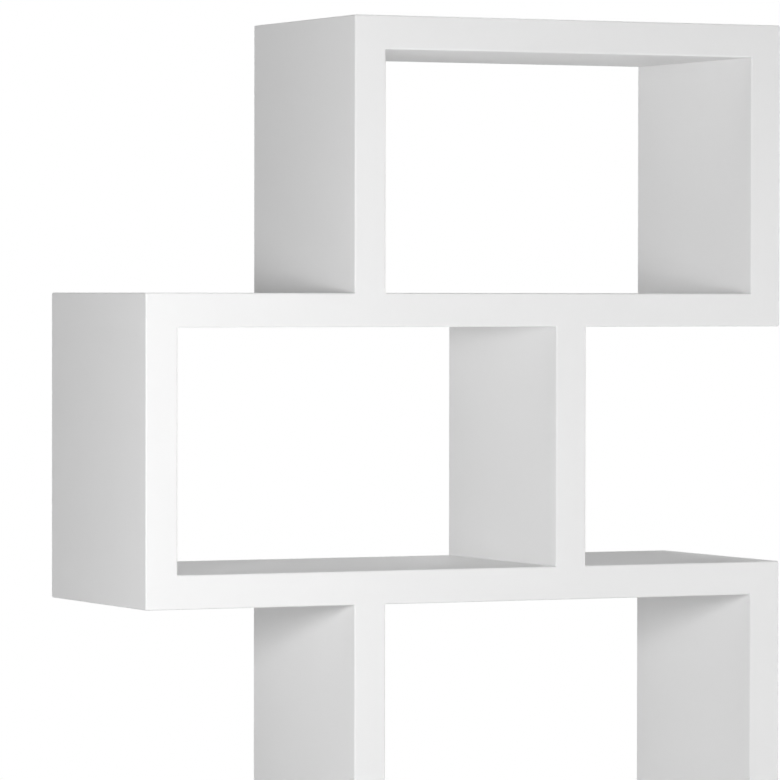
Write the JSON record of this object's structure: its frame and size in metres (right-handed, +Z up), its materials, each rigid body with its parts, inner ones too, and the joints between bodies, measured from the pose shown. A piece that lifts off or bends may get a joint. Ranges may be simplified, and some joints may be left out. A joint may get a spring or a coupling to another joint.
{
  "type": "staggered bookcase",
  "caption": "Free-standing open-backed bookcase of thick white panels, its box-shaped tiers set right and left by turns between wide boards, on levelling feet.",
  "frame": {"origin": "on the floor, under the middle of the bookcase", "axes": "+Z up, +X to the right seen from the front, +Y to the back"},
  "size_m": [1, 0.35, 1.616],
  "materials": {
    "white_lacquer": "satin white lacquer on hardboard",
    "white_edging": "satin white edging, flush with the faces",
    "chipboard": "raw sawn chipboard",
    "honeycomb_paper": "raw brown kraft paper",
    "beech": "turned beech, unfinished",
    "plated_steel": "bright zinc plating",
    "cast_zinc": "die-cast, tumbled",
    "white_plastic": "satin moulded",
    "grey_nylon": "matt moulded"
  },
  "bodies": {
    "carcass": {"top_board_skins": "white_lacquer", "top_board_frame": "chipboard", "top_board_edging": "white_edging", "upper_board_skins": "white_lacquer", "upper_board_frame": "chipboard", "upper_board_edging": "white_edging", "middle_board_skins": "white_lacquer", "middle_board_frame": "chipboard", "middle_board_edging": "white_edging", "lower_board_skins": "white_lacquer", "lower_board_frame": "chipboard", "lower_board_edging": "white_edging", "base_board_skins": "white_lacquer", "base_board_frame": "chipboard", "base_board_edging": "white_edging", "top_left_upright_skins": "white_lacquer", "top_left_upright_frame": "chipboard", "top_left_upright_edging": "white_edging", "top_right_upright_skins": "white_lacquer", "top_right_upright_frame": "chipboard", "top_right_upright_edging": "white_edging", "second_left_upright_skins": "white_lacquer", "second_left_upright_frame": "chipboard", "second_left_upright_edging": "white_edging", "second_right_upright_skins": "white_lacquer", "second_right_upright_frame": "chipboard", "second_right_upright_edging": "white_edging", "third_left_upright_skins": "white_lacquer", "third_left_upright_frame": "chipboard", "third_left_upright_edging": "white_edging", "third_right_upright_skins": "white_lacquer", "third_right_upright_frame": "chipboard", "third_right_upright_edging": "white_edging", "bottom_left_upright_skins": "white_lacquer", "bottom_left_upright_frame": "chipboard", "bottom_left_upright_edging": "white_edging", "bottom_right_upright_skins": "white_lacquer", "bottom_right_upright_frame": "chipboard", "bottom_right_upright_edging": "white_edging", "board_cores": "honeycomb_paper", "upright_cores": "honeycomb_paper", "dowels": "beech", "connecting_bolts": "plated_steel", "cams": "cast_zinc", "cam_caps": "white_plastic", "foot_inserts": "plated_steel"},
    "front_left_foot": {"front_left_foot_pad": "grey_nylon", "front_left_foot_stem": "plated_steel"},
    "front_right_foot": {"front_right_foot_pad": "grey_nylon", "front_right_foot_stem": "plated_steel"},
    "back_left_foot": {"back_left_foot_pad": "grey_nylon", "back_left_foot_stem": "plated_steel"},
    "back_right_foot": {"back_right_foot_pad": "grey_nylon", "back_right_foot_stem": "plated_steel"}
  },
  "joints": [
    {"name": "front_left_foot_screw", "type": "slide", "parent": "carcass", "child": "front_left_foot", "axis": [0, 0, -1], "range_m": [0, 0.01]},
    {"name": "front_right_foot_screw", "type": "slide", "parent": "carcass", "child": "front_right_foot", "axis": [0, 0, -1], "range_m": [0, 0.01]},
    {"name": "back_left_foot_screw", "type": "slide", "parent": "carcass", "child": "back_left_foot", "axis": [0, 0, -1], "range_m": [0, 0.01]},
    {"name": "back_right_foot_screw", "type": "slide", "parent": "carcass", "child": "back_right_foot", "axis": [0, 0, -1], "range_m": [0, 0.01]}
  ]
}
